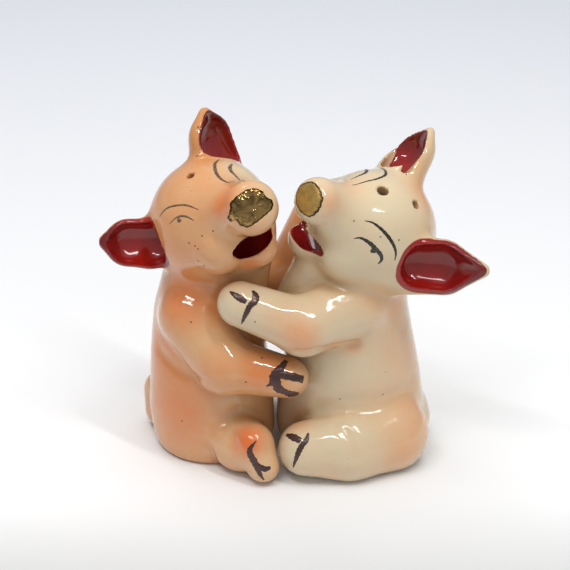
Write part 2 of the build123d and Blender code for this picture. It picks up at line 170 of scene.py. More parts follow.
SALT = dict(
    c=(-14.6, -1.3, 53.4), M=head_axes((0.415, -0.785, 0.460), (0.643, 0.610, 0.462)),
    skull=(13.0, 12.9, 12.7), muzzle=((4, 0.3, 0.4), (13.4, 0.2, 1.2), 9.3, 5.4),
    cheeks=[((7.2, -6.2, -3.4), (6.0, 4.9, 5.4)), ((5.6, 4.0, -4.6), (5.2, 4.4, 5.2))],
    jaw=((2, 0, -6.0), (9.8, -0.2, -8.8), 7.5, 4.0),
    snout=dict(c=(-5.3, -18.2, 63.9), ax=(0.27, -0.86, 0.43), r0=5.2, r1=5.7, back=5.0),
    near_ear=dict(base=(-27.62, -4.0, 49.13), tip=(-38.07, -6.0, 50.55), n=(0.22, -0.88, 0.30), rb=5.4, rm=4.9, rt=1.9, tm=0.42, dn=1.7),
    far_ear=dict(base=(-13.8, 6.5, 62.12), tip=(-16.6, 9.0, 74.25), n=(0.78, -0.50, 0.35), rb=7.2, rm=5.9, rt=2.0, tm=0.42, dn=1.9, s0=0.6, ws=-2.8, rs=3.9),
    mouth=dict(c=(-9.72, -10.70, 54.27), along=(0.733, 0.491, 0.607), out=(0.152, -0.683, -0.096), x=(-6.28, 2.23), r=(1.29, 6.02)),
    torso=smooth_rows([(-1, -15.2, 0.2, 12.2, 12.4), (3, -15.6, 0.2, 13.1, 13.2), (9, -16.0, 0.2, 13.3, 13.4), (23, -16.0, 0.3, 12.6, 12.6),
                       (33, -16.2, 0.4, 11.4, 11.2), (38, -16.0, 0.2, 10.2, 10.0), (43, -15.6, 0, 9.4, 9.0), (48, -15.2, -0.5, 8.5, 8.5)]),
    top=46.0, neck_blend=4.5,
    near_arm=[((-19.2, -6.0, 33.5), 6.6), ((-12.3, -12.2, 25.0), 6.0), ((1.1, -13.0, 22.2), 4.35)],
    far_arm=[((-10.0, 8.0, 34.5), 5.5), ((0.5, 10.5, 35.0), 4.8), ((6.0, 10.5, 48.5), 4.3)],
    near_leg=[((-15.0, -4.0, 6.5), 8.0), ((-8.8, -12.5, 5.6), 5.6), ((-6.2, -16.4, 8.0), 3.9), ((-4.2, -18.3, 3.6), 3.5)],
    far_leg=[((-14.0, 6.0, 6.0), 7.5), ((-6.5, 13.5, 5.2), 4.8)],
    tail=[((-26.2, 5.5, 3.8), 4.6), ((-26.8, 6.0, 8.6), 4.2)],
    bulges=[((-9.4, -2.0, 37.0), (-7.8, -2.4, 48.0), 6.2, 5.6), ((-8.9, -3.5, 5.5), (-9.0, -2.6, 13.0), 6.7, 6.4)],
    grooves=[([(-15.8, -14.1, 5.7), (-15.0, -14.5, 3.9), (-14.2, -12.6, 0.5)], 0.45, 0.9),
             ([(-26.1, -6.8, 24.9), (-23.5, -9.8, 23.2), (-20.2, -11.7, 21.8), (-16.4, -17.2, 23.8)], 0.50, 1.4),
             ([(-12.1, -13.8, 11.1), (-10.8, -16.8, 10.1), (-9.9, -18.9, 9.0)], 0.45, 1.2)],
    enamel=dict(near_ear=0.75, far_ear=0.15),
    neck=((-15.9, 0.1, 35.0), 6.8), bore=(-15.2, 0.2),
    pours=[((0.497, 0.032, 0.867), 0.75), ((-0.34, 0.46, 0.82), 0.9), ((-0.42, -0.34, 0.84), 0.9)],
)
PEPPER = dict(
    c=(18.6, -2.6, 51.6), M=head_axes((-0.717, -0.495, 0.491), (0.182, -0.813, -0.553)),
    skull=(12.9, 12.7, 12.6), muzzle=((4, 0, 0.4), (14.0, 0, 2.0), 9.3, 5.0),
    cheeks=[((7.2, -6.2, -3.4), (6.0, 4.9, 5.4)), ((5.6, 5.8, -3.8), (5.8, 4.9, 5.4))],
    jaw=((2, 0, -6.0), (10.5, 0, -9.0), 7.5, 4.0),
    snout=dict(c=(4.5, -14.2, 63.97), ax=(-0.70, -0.58, 0.42), r0=4.4, r1=4.9, back=5.0),
    near_ear=dict(base=(24.92, -9.5, 47.1), tip=(41.92, -15.5, 48.49), n=(0.10, -0.93, 0.10), rb=6.6, rm=5.9, rt=1.6, tm=0.45, dn=2.0, rim=1.2, dw=0.6, s0=4.0, rs=4.5),
    far_ear=dict(base=(24.2, 5.0, 60.3), tip=(31.39, 9.0, 69.67), n=(-0.80, -0.25, 0.50), rb=7.0, rm=5.5, rt=1.6, tm=0.42, dn=1.9, s0=1.5, rs=3.6),
    mouth=dict(c=(5.59, -8.53, 52.86), along=(0.248, -0.853, -0.580), out=(-0.293, -0.022, 0.004), x=(-3.70, 2.98), r=(3.79, 1.93)),
    torso=smooth_rows([(-1, 15.9, -0.8, 14.8, 14.4), (3, 16.0, -0.6, 15.3, 14.9), (9, 15.4, -0.4, 15.5, 14.6), (18, 14.9, -0.3, 14.8, 13.8),
                       (27, 14.2, -0.2, 13.7, 12.6), (34, 14.3, -0.4, 12.3, 11.4), (38, 15.3, -0.6, 11.0, 10.6), (43, 16.5, -1, 10.2, 9.6), (48, 17.5, -1.5, 9.5, 9)]),
    top=46.0, neck_blend=4.5,
    near_arm=[((15.0, -6.5, 36.5), 7.2), ((4.2, -13.4, 34.6), 5.8), ((-8.8, -14.0, 40.2), 4.75)],
    far_arm=[((14.0, 8.0, 30.0), 5.8), ((4.5, 13.6, 22.6), 4.9), ((-6.5, 15.3, 21.9), 4.4)],
    near_leg=[((22.5, -9.0, 6.5), 9.0), ((14.0, -13.6, 6.2), 7.8), ((4.9, -16.0, 6.6), 5.9)],
    far_leg=[((14.2, 8.2, 6.5), 6.7), ((5.0, 13.7, 5.3), 4.8)],
    tail=[((27.0, 1.0, 4.5), 5.5), ((27.0, 1.5, 6.5), 5.0)],
    bulges=[((4.2, -4.0, 36.0), (6.2, -3.8, 43.0), 5.8, 4.6), ((5.4, -2.0, 5.5), (5.6, -0.4, 13.0), 6.7, 6.2)],
    grooves=[([(3.3, -18.9, 31.4), (6.6, -18.6, 31.7), (10.8, -15.1, 30.8), (15.2, -12.6, 30.0)], 0.70, 1.1),
             ([(8.3, -13.0, 14.5), (13.1, -14.1, 16.9), (18.4, -13.8, 17.0), (23.8, -11.5, 16.8), (27.6, -7.5, 17.2)], 0.50, 2.0),
             ([(18.4, -12.4, 40.3), (21.9, -10.3, 36.4), (25.1, -6.9, 30.3)], 0.35, 1.6),
             ([(11.6, -17.5, 13.3), (14.5, -20.2, 11.3), (15.3, -21.6, 8.2)], 0.40, 1.3)],
    enamel=dict(near_ear=0.80, far_ear=0.0),
    neck=((15.2, -0.6, 35.0), 7.2), bore=(15.9, -0.8),
    pours=[((0.559, -0.122, 0.820), 1.15), ((-0.046, -0.568, 0.822), 0.9), ((0.016, 0.085, 0.996), 0.9)],
)


def mouth(P, g):
    """Distance to the open mouth: a tapered form cut straight at the upper lip."""
    m = g["mouth"]
    q = (P - A(*m["c"])) @ axes_of(m["along"], m["out"])
    return smax(cone(q / A(1, 1, 1.1), (m["x"][0], 0, 0), (m["x"][1], 0, 0), m["r"][0], m["r"][1]), q[:, 1], 0.5)


def sculpt(P, g, hollow=True, parts=None):
    """Signed distance to one pig, and to its red-enamelled hollows."""
    q = (P - A(*g["c"])) @ g["M"]
    d = ellipsoid(q, (-0.6, 0, 0.2), g["skull"])
    a, b, ra, rb = g["muzzle"]
    d = smin(d, cone(q, a, b, ra, rb), 4.5)
    for c, r in g["cheeks"]:
        d = smin(d, ellipsoid(q, c, r), 3.0)
    a, b, ra, rb = g["jaw"]
    d = smin(d, cone(q, a, b, ra, rb), 3.5)
    s = g["snout"]
    sc = np.array(s["c"], float)
    ax = unit(s["ax"])
    sn = cone(P, sc - ax * (s["r1"] + s["back"]), sc - ax * s["r1"] * 0.75, s["r0"], s["r1"])
    sn = smax(sn, ((P - A(*sc)) @ ax.astype(np.float32)), 1.6)
    d = smin(d, sn, 1.8)
    t = smax(smax(barrel(P, g["torso"]), P[:, 2] - g["top"], 6.0), -P[:, 2], 2.0)
    for a, b, ra, rb in g.get("bulges", ()):
        t = smin(t, cone(P, a, b, ra, rb), 4.0)
    if parts is not None:
        parts.update(torso=t, head=d, snout=sn)
    d = smin(d, t, g["neck_blend"])
    e1, s1 = ear(P, **g["near_ear"])
    e2, s2 = ear(P, **g["far_ear"])
    d = smin(smin(d, e1, 3.2), e2, 3.2)
    mo = mouth(P, g)
    red = np.minimum(np.minimum(s1, s2), mo)
    d = smax(smax(smax(d, -s1, 0.8), -s2, 0.8), -mo, 0.8)
    legs = None
    for n in ("near_leg", "far_leg", "tail"):
        x = chain(P, g[n], 3.0)
        if parts is not None:
            parts[n] = x
        legs = x if legs is None else smin(legs, x, 1.5)
    d = smin(d, smax(legs, -P[:, 2], 1.6), 2.2)
    for n in ("near_arm", "far_arm"):
        pts = g[n]
        up = chain(P, pts[:2], 2.5)
        lo = chain(P, pts[1:], 2.5)
        arm = smin(up, lo, 2.5)
        if parts is not None:
            parts[n] = arm
        d = smin(d, arm, 1.6)
        d = smin(d, cone(P, pts[0][0], pts[1][0], pts[0][1] * 0.9, pts[1][1] * 0.72), 5.0)
    for pts, depth, width in g.get("grooves", ()):
        w = np.minimum.reduce([cone(P, a, b, 0.02, 0.01) for a, b in zip(pts[:-1], pts[1:])])
        d = d + depth * np.exp(-(w / width) ** 2)
    d = smax(d, -P[:, 2], 0.8)
    if hollow:
        (na, nr) = g["neck"]
        cav = smax(smax(barrel(P, g["torso"], 3.1), P[:, 2] - 40.0, 3.0), 3.0 - P[:, 2], 1.5)
        cav = smin(cav, cone(P, na, g["c"], nr, 9.8), 3.0)
        cav = np.maximum(cav, 2.0 - red)
        d = smax(d, -cav, 0.5)
        bx, by = g["bore"]
        fil = np.maximum(np.sqrt((P[:, 0] - bx) ** 2 + (P[:, 1] - by) ** 2) - 7.0, P[:, 2] - 6.0)
        d = smax(d, -fil, 0.35)
        for v, r in g["pours"]:
            v = g["M"] @ unit(v)
            c = np.array(g["c"])
            d = smax(d, -cone(P, c + v * 8.0, c + v * 18.0, r, r), 0.6)
    if parts is not None:
        parts["red"] = red
    return d, red
# </sculpt>

# ------------------------------------------------------------------ painted details, in the sculpting frame
STROKES = [
    ("salt", "line", "brow_near", (0.1, 0.2, 0.21, 0.19, 0.08), [(-25.12, -7.72, 57.05), (-23.54, -8.41, 59.20), (-20.99, -9.90, 60.55), (-19.11, -10.98, 60.95), (-16.93, -12.62, 60.80)]),
    ("salt", "line", "lid_near", (0.07, 0.17, 0.24, 0.2, 0.08), [(-22.98, -10.44, 56.63), (-21.61, -10.93, 58.20), (-20.35, -11.49, 58.86), (-19.10, -12.21, 58.95), (-17.87, -13.04, 58.58)]),
    ("salt", "line", "brow_far", (0.14, 0.34, 0.38, 0.34, 0.24, 0.1), [(-13.12, 0.48, 66.17), (-13.89, -2.16, 66.30), (-13.62, -5.27, 65.97), (-12.80, -7.63, 65.68), (-11.52, -9.77, 65.72), (-10.34, -11.17, 66.07)]),
    ("salt", "line", "lid_far", (0.2, 0.42, 0.44, 0.32, 0.22, 0.1), [(-10.42, -0.59, 65.62), (-10.80, -3.01, 65.82), (-10.31, -4.88, 65.63), (-9.50, -6.26, 65.41), (-8.70, -8.58, 65.59), (-7.56, -14.25, 67.66)]),
    ("pepper", "line", "lid_far", (0.26, 0.4, 0.26, 0.08), [(17.27, 2.34, 63.20), (17.08, -1.68, 64.27), (15.51, -3.37, 64.20), (13.68, -4.89, 64.04)]),
    ("pepper", "line", "brow_far", (0.14, 0.3, 0.34, 0.28, 0.2, 0.08), [(20.34, 2.92, 63.27), (21.10, 0.09, 63.84), (20.95, -2.80, 64.11), (19.20, -4.90, 64.20), (16.74, -6.18, 64.12), (14.00, -8.10, 64.21)]),
    ("pepper", "line", "brow_near", (0.08, 0.22, 0.34, 0.38, 0.34, 0.24, 0.08), [(16.40, -13.88, 58.93), (18.04, -13.80, 58.47), (19.82, -14.12, 57.16), (21.32, -14.42, 55.50), (22.41, -14.54, 53.60), (22.84, -14.57, 51.97), (22.64, -14.60, 50.34)]),
    ("pepper", "line", "lid_near", (0.08, 0.26, 0.44, 0.5, 0.42, 0.32, 0.16), [(14.23, -14.85, 55.46), (15.69, -14.90, 55.57), (17.49, -15.11, 54.54), (18.68, -15.25, 53.29), (19.76, -15.23, 51.96), (19.93, -15.17, 50.78), (19.30, -15.12, 49.92)]),
    ("pepper", "hoof", "hand_toe_a", (0.2, 0.62, 0.7, 0.45), [(-10.75, -16.00, 44.06), (-9.55, -17.09, 43.75), (-8.39, -17.68, 43.19), (-7.42, -17.88, 42.63)]),
    ("pepper", "hoof", "hand_toe_b", (0.35, 0.72, 0.74, 0.62, 0.58, 0.42, 0.12), [(-6.09, -15.50, 44.03), (-5.51, -16.40, 43.39), (-5.68, -17.41, 42.62), (-6.65, -18.16, 41.91), (-7.24, -18.65, 40.84), (-7.81, -18.80, 39.61), (-8.43, -18.37, 37.84)]),
    ("salt", "hoof", "hand_toe_a", (0.45, 0.8, 1.05, 1.25, 1.0), [(0.74, -13.86, 26.82), (-0.26, -15.69, 26.25), (-1.26, -16.72, 25.45), (-1.65, -17.29, 24.42), (-1.26, -17.50, 23.16)]),
    ("salt", "hoof", "hand_toe_b", (0.7, 0.9, 0.8), [(-1.26, -16.92, 25.12), (1.32, -16.67, 24.64), (4.30, -15.76, 23.30)]),
    ("salt", "hoof", "hand_toe_c", (0.8, 1.05, 0.85, 1.1, 0.55), [(-1.44, -17.46, 23.61), (-0.87, -17.45, 22.02), (0.53, -17.22, 21.07), (2.03, -16.78, 20.23), (3.29, -16.11, 20.05)]),
    ("salt", "hoof", "hand_toe_d", (0.15, 0.7), [(-3.44, -17.64, 22.78), (-1.86, -17.50, 23.63)]),
    ("salt", "hoof", "foot_toe_a", (0.1, 0.5, 0.72, 0.8, 0.62, 0.16), [(-5.57, -19.75, 10.80), (-6.81, -20.54, 9.42), (-6.88, -20.80, 8.16), (-5.90, -21.14, 6.24), (-5.11, -21.60, 4.40), (-4.01, -21.52, 2.20)]),
    ("salt", "hoof", "foot_toe_b", (0.5, 0.66, 0.32), [(-5.29, -21.30, 5.75), (-3.89, -21.53, 4.95), (-2.59, -21.09, 5.01)]),
    ("pepper", "hoof", "foot_toe_a", (0.3, 0.8, 0.62), [(0.74, -17.07, 10.67), (2.15, -18.72, 11.07), (3.74, -19.91, 10.88)]),
    ("pepper", "hoof", "foot_toe_b", (0.22, 0.55, 0.6, 0.62, 0.45, 0.12), [(5.36, -18.56, 11.96), (4.93, -19.83, 11.10), (4.13, -20.52, 10.35), (3.34, -21.14, 9.09), (2.73, -21.45, 7.38), (2.15, -20.96, 4.93)]),
]
DABS = [
    ("salt", "line", 0.50, [(-20.96, -11.52, 57.94)]),
    ("pepper", "line", 0.62, [(18.24, -15.29, 52.97)]),
    ("salt", "speck", 0.27, [(-16.24, -14.48, 55.84), (-18.95, -13.47, 53.80), (-17.71, -14.25, 53.50), (-17.09, -14.77, 53.08), (-13.98, -15.12, 57.25), (-17.16, -14.45, 50.22), (-15.95, -14.97, 49.35), (-7.64, -18.00, 24.02), (-21.56, -11.86, 10.85), (-18.99, -13.08, 35.49)]),
    ("salt", "speck", 0.42, [(-18.83, -5.06, 64.98)]),
    ("salt", "speck", 0.30, [(-17.51, 4.54, 71.69), (-17.69, 1.26, 66.60), (-4.33, -14.99, 28.03)]),
    ("pepper", "speck", 0.24, [(19.63, -14.69, 55.72), (23.42, -13.94, 54.69), (14.26, -14.34, 59.10), (12.06, -13.48, 17.26), (21.19, -12.34, 17.69), (-5.65, -18.87, 38.59)]),
]
SALT_GOLD = [(-4.75, 1.49), (-4.06, 2.16), (-3.26, 2.76), (-1.34, 3.71), (0.34, 3.80), (1.92, 3.00), (2.32, 1.75), (3.67, 1.00), (3.76, 0.17), (3.40, -0.76), (1.49, -2.02), (-0.17, -3.00), (-1.98, -3.89), (-3.61, -3.07), (-4.01, -1.90), (-4.97, -2.32), (-5.40, -1.36), (-4.96, 0.03)]
PEPPER_GOLD = [(3.82, 1.37), (3.98, 0.49), (3.99, -0.45), (3.80, -1.27), (3.39, -2.03), (2.77, -2.75), (2.07, -3.21), (1.29, -3.20), (0.42, -3.05), (-0.60, -2.86), (-1.24, -2.36), (-2.32, -1.81), (-2.55, -0.90), (-3.15, -0.10), (-3.06, 0.84), (-3.49, 1.71), (-2.47, 2.41), (-1.68, 2.88), (-0.99, 3.37), (-0.10, 3.64), (0.74, 3.61), (1.85, 3.21), (2.59, 2.77), (3.23, 2.12)]
# Airbrush spots: centre, radius, blush, hot. Most give the glaze's own colour; the lighter spot on the near upper arm
# is a painted highlight, and the two small hot spots beside the snout are painted shade in its crease.
SALT_BLUSH_AND_PAINTED_LIGHT = [((-8.8, -6.8, 50.1), 5.0, -0.55, 0.00), ((-11.4, -15.5, 55.9), 4.0, -0.25, 0.00), ((-3.3, -17.0, 64.9), 6.0, -0.50, 0.00), ((-5.1, -1.0, 62.2), 6.0, -0.55, 0.00), ((-7.2, -1.1, 64.0), 5.0, -0.35, 0.00), ((-10.4, -3.8, 65.7), 4.0, -0.20, 0.00), ((-6.4, -8.6, 43.9), 5.0, -0.20, 0.00), ((-9.6, -11.2, 14.4), 7.0, -0.30, 0.00), ((-4.4, -21.1, 6.4), 5.0, -0.45, 0.00), ((-12.1, -16.5, 8.9), 6.0, -0.22, 0.00), ((-16.1, -15.5, 31.4), 5.0, -0.22, 0.00), ((3.4, -16.1, 24.3), 3.5, -0.25, 0.00), ((-9.0, -8.8, 32.5), 5.0, -0.10, 0.00), ((-21.1, -9.5, 39.5), 6.0, 0.10, 0.45), ((-14.3, -9.9, 38.5), 6.0, 0.05, 0.22), ((-7.7, -19.6, 10.6), 3.6, 0.20, 1.00), ((-12.0, -16.3, 63.1), 2.6, 0.25, 0.55), ((-11.0, -15.3, 65.4), 2.6, 0.15, 0.35), ((-21.3, -11.8, 13.1), 8.0, 0.10, 0.42), ((-24.0, -9.8, 18.5), 6.0, 0.10, 0.25), ((-4.3, -17.0, 26.1), 4.5, 0.15, 0.40), ((-6.7, -13.2, 48.9), 2.6, 0.20, 0.35), ((-16.9, 8.0, 66.9), 6.0, 0.10, 0.16), ((-23.6, -9.6, 49.2), 6.0, 0.10, 0.16), ((-14.0, -17.9, 28.0), 5.0, 0.05, 0.18), ((-26.2, -6.4, 23.9), 7.0, 0.10, 0.25), ((0.7, -15.0, 26.4), 3.0, 0.10, 0.20)]
# Airbrush spots as above; the small hot spots along the crease under the near arm are painted shade.
PEPPER_BLUSH_AND_PAINTED_LIGHT = [((9.6, -16.1, 63.8), 3.6, 0.50, 0.12), ((12.2, -7.4, 64.5), 4.5, 0.42, 0.05), ((3.5, -10.4, 65.7), 3.0, 0.30, 0.00), ((29.0, -3.2, 59.4), 4.5, 0.50, 0.10), ((25.1, 8.6, 61.9), 4.0, 0.40, 0.05), ((30.4, -2.7, 57.3), 4.0, 0.35, 0.05), ((27.6, -4.2, 25.2), 8.0, 0.42, 0.08), ((29.3, -11.3, 12.0), 9.0, 0.55, 0.12), ((24.1, -7.5, 37.9), 5.0, 0.55, 0.15), ((18.4, -12.1, 40.1), 4.0, 0.35, 0.08), ((3.7, -19.8, 34.9), 4.2, 0.50, 0.35), ((-0.6, -18.6, 38.9), 5.0, 0.35, 0.10), ((9.8, -14.9, 30.6), 3.0, 0.45, 0.30), ((14.4, -12.2, 29.8), 2.6, 0.35, 0.20), ((3.2, -15.3, 12.2), 3.0, 0.40, 0.20), ((-9.1, -13.9, 45.0), 4.0, 0.25, 0.00), ((22.9, -9.1, 31.0), 7.0, 0.25, 0.00), ((9.9, -21.4, 4.1), 5.0, 0.25, 0.03), ((24.8, -17.8, 6.0), 6.0, 0.50, 0.12), ((9.7, -14.0, 41.1), 6.0, 0.20, 0.00), ((18.4, -13.3, 16.9), 5.0, 0.15, 0.00), ((2.6, -8.8, 10.5), 3.0, 0.30, 0.10), ((29.1, -9.9, 50.5), 4.0, 0.10, 0.00), ((28.3, 0.8, 64.8), 4.0, 0.25, 0.00)]


GRID = 0.55


def field(g):
    return lambda P: sculpt(P, g)[0]


def chunked(f, P, n=60000):
    return np.concatenate([f(P[i:i + n]) for i in range(0, len(P), n)]) if len(P) else np.zeros(0, np.float32)


TETRA = [A(1, -1, -1), A(-1, -1, 1), A(-1, 1, -1), A(1, 1, 1)]


def gradient(f, P, e=0.12):
    """Distance and unit outward direction at each point."""
    n = np.zeros_like(P)
    s = np.zeros(len(P), np.float32)
    for v in TETRA:
        d = chunked(f, P + v * e)
        n += v * d[:, None]
        s += d
    return s / 4, n / np.maximum(np.linalg.norm(n, axis=1, keepdims=True), 1e-6)


def settle(f, P, steps=3, limit=0.3):
    """Moves points onto the surface along the gradient."""
    n = None
    for _ in range(steps):
        d, n = gradient(f, P)
        P = P - n * np.clip(d, -limit, limit)[:, None]
    return P.astype(np.float32), n


def skin(f, lo, hi, h):
    """Surface nets over a grid that is filled in only near the surface."""
    lo = np.array(lo, float)
    B = 6
    nb = np.ceil((np.array(hi) - lo) / (h * B)).astype(int)
    shape = nb * B
    I = np.stack(np.meshgrid(*[np.arange(n) for n in nb], indexing="ij"), -1).reshape(-1, 3)
    centre = (lo + (I * B + (B - 1) / 2) * h).astype(np.float32)
    dc = chunked(f, centre)
    F = np.repeat(np.repeat(np.repeat(dc.reshape(nb), B, 0), B, 1), B, 2).astype(np.float32)
    live = np.nonzero(np.abs(dc) < h * B * 0.87 * 1.6 + 0.3)[0]
    off = np.stack(np.meshgrid(*[np.arange(B)] * 3, indexing="ij"), -1).reshape(-1, 3)
    for k in range(0, len(live), 300):
        idx = (I[live[k:k + 300], None, :] * B + off[None]).reshape(-1, 3)
        F[idx[:, 0], idx[:, 1], idx[:, 2]] = f((lo + idx * h).astype(np.float32))
    neg = F < 0
    nx, ny, nz = shape
    count = np.zeros((nx - 1, ny - 1, nz - 1), np.uint8)
    corners = [(i, j, k) for i in (0, 1) for j in (0, 1) for k in (0, 1)]
    for i, j, k in corners:
        count += neg[i:nx - 1 + i, j:ny - 1 + j, k:nz - 1 + k]
    cell = np.argwhere((count > 0) & (count < 8))
    number = np.full(count.shape, -1, np.int32)
    number[tuple(cell.T)] = np.arange(len(cell))
    val = {c: F[cell[:, 0] + c[0], cell[:, 1] + c[1], cell[:, 2] + c[2]] for c in corners}
    total = np.zeros((len(cell), 3))
    hits = np.zeros(len(cell))
    for a in corners:
        for ax in range(3):
            if a[ax] == 0:
                b = tuple(1 if q == ax else a[q] for q in range(3))
                va, vb = val[a], val[b]
                m = (va < 0) != (vb < 0)
                t = va / np.where(m, va - vb, 1)
                p = np.tile(np.array(a, float), (len(cell), 1))
                p[:, ax] += t
                total += np.where(m[:, None], p, 0)
                hits += m
    verts = (lo + (cell + total / hits[:, None]) * h).astype(np.float32)
    faces = []
    for ax in range(3):
        u, v = [(1, 2), (2, 0), (0, 1)][ax]
        a = [slice(1, n - 1) for n in shape]
        a[ax] = slice(0, shape[ax] - 1)
        b = list(a)
        b[ax] = slice(1, shape[ax])
        na, nbb = neg[tuple(a)], neg[tuple(b)]
        e = np.argwhere(na != nbb)
        start = np.array([0 if q == ax else 1 for q in range(3)])
        e = e + start
        flip = ~neg[tuple(e.T)]
        quad = []
        for du, dv in ((-1, -1), (0, -1), (0, 0), (-1, 0)):
            c = e.copy()
            c[:, u] += du
            c[:, v] += dv
            quad.append(number[tuple(c.T)])
        quad = np.stack(quad, 1)
        quad[flip] = quad[flip][:, ::-1]
        faces.append(quad)
    return verts, np.concatenate(faces)


def mesh_object(name, verts, faces, smooth=True, normals=None):
    """verts in the sculpting frame, in millimetres; faces an array or a list."""
    me = bpy.data.meshes.new(name)
    co = (np.asarray(verts, float) + SHIFT) / 1000.0
    if isinstance(faces, np.ndarray):
        n, k = faces.shape
        me.vertices.add(len(co))
        me.vertices.foreach_set("co", co.astype(np.float32).ravel())
        me.loops.add(n * k)
        me.loops.foreach_set("vertex_index", faces.astype(np.int32).ravel())
        me.polygons.add(n)
        me.polygons.foreach_set("loop_start", np.arange(0, n * k, k, dtype=np.int32))
        me.update(calc_edges=True)
        me.validate()
    else:
        me.from_pydata(co.tolist(), [], faces)
    me.polygons.foreach_set("use_smooth", [smooth] * len(me.polygons))
    if normals is not None:
        me.normals_split_custom_set_from_vertices(normals.tolist())
    me.update()
    ob = bpy.data.objects.new(name, me)
    bpy.context.scene.collection.objects.link(ob)
    return ob


def attribute(ob, name, values):
    a = ob.data.attributes.new(name, "FLOAT", "POINT")
    a.data.foreach_set("value", np.ascontiguousarray(values, dtype=np.float32))


# ------------------------------------------------------------------ materials
class Nodes:
    """A short way to write a node tree."""

    def __init__(self, name):
        self.mat = bpy.data.materials.new(name)
        self.mat.use_nodes = True
        self.tree = self.mat.node_tree
        self.tree.nodes.clear()

    def add(self, kind, **values):
        n = self.tree.nodes.new(kind)
        for k, v in values.items():
            setattr(n, k, v)
        return n

    def wire(self, a, b):
        self.tree.links.new(a, b)

    def put(self, socket, value):
        if hasattr(value, "is_linked") or hasattr(value, "links"):
            self.wire(value, socket)
        else:
            socket.default_value = value

    def math(self, op, a, b=0.0, c=None, clamp=False):
        n = self.add("ShaderNodeMath", operation=op, use_clamp=clamp)
        self.put(n.inputs[0], a)
        self.put(n.inputs[1], b)
        if c is not None:
            self.put(n.inputs[2], c)
        return n.outputs[0]

    def attr(self, name):
        return self.add("ShaderNodeAttribute", attribute_name=name).outputs["Fac"]

    def noise(self, scale, detail=3.0, rough=0.5, distortion=0.0):
        n = self.add("ShaderNodeTexNoise")
        n.inputs["Scale"].default_value = scale
        n.inputs["Detail"].default_value = detail
        n.inputs["Roughness"].default_value = rough
        n.inputs["Distortion"].default_value = distortion
        self.wire(self.place(), n.inputs["Vector"])
        return n.outputs["Fac"]

    def place(self):
        if not hasattr(self, "_place"):
            self._place = self.add("ShaderNodeTexCoord").outputs["Object"]
        return self._place

    def span(self, x, a, b, lo=0.0, hi=1.0):
        n = self.add("ShaderNodeMapRange", interpolation_type="SMOOTHSTEP")
        self.put(n.inputs["Value"], x)
        n.inputs["From Min"].default_value = a
        n.inputs["From Max"].default_value = b
        n.inputs["To Min"].default_value = lo
        n.inputs["To Max"].default_value = hi
        return n.outputs["Result"]

    def mix(self, fac, a, b):
        n = self.add("ShaderNodeMix", data_type="RGBA")
        self.put(n.inputs[0], fac)
        for s, v in ((n.inputs[6], a), (n.inputs[7], b)):
            if isinstance(v, tuple):
                s.default_value = (*v, 1.0)
            else:
                self.wire(v, s)
        return n.outputs[2]

    def bump(self, height, strength, distance):
        n = self.add("ShaderNodeBump")
        n.inputs["Strength"].default_value = strength
        n.inputs["Distance"].default_value = distance
        self.wire(height, n.inputs["Height"])
        return n.outputs["Normal"]

    def shader(self, colour, rough, normal=None, metal=None, **fixed):
        p = self.add("ShaderNodeBsdfPrincipled")
        if isinstance(colour, tuple):
            p.inputs["Base Color"].default_value = (*colour, 1)
        else:
            self.wire(colour, p.inputs["Base Color"])
        self.put(p.inputs["Roughness"], rough)
        if normal is not None:
            self.wire(normal, p.inputs["Normal"])
        if metal is not None:
            self.put(p.inputs["Metallic"], metal)
        for k, v in fixed.items():
            p.inputs[k.replace("_", " ")].default_value = v
        out = self.add("ShaderNodeOutputMaterial")
        self.wire(p.outputs[0], out.inputs[0])
        return self.mat


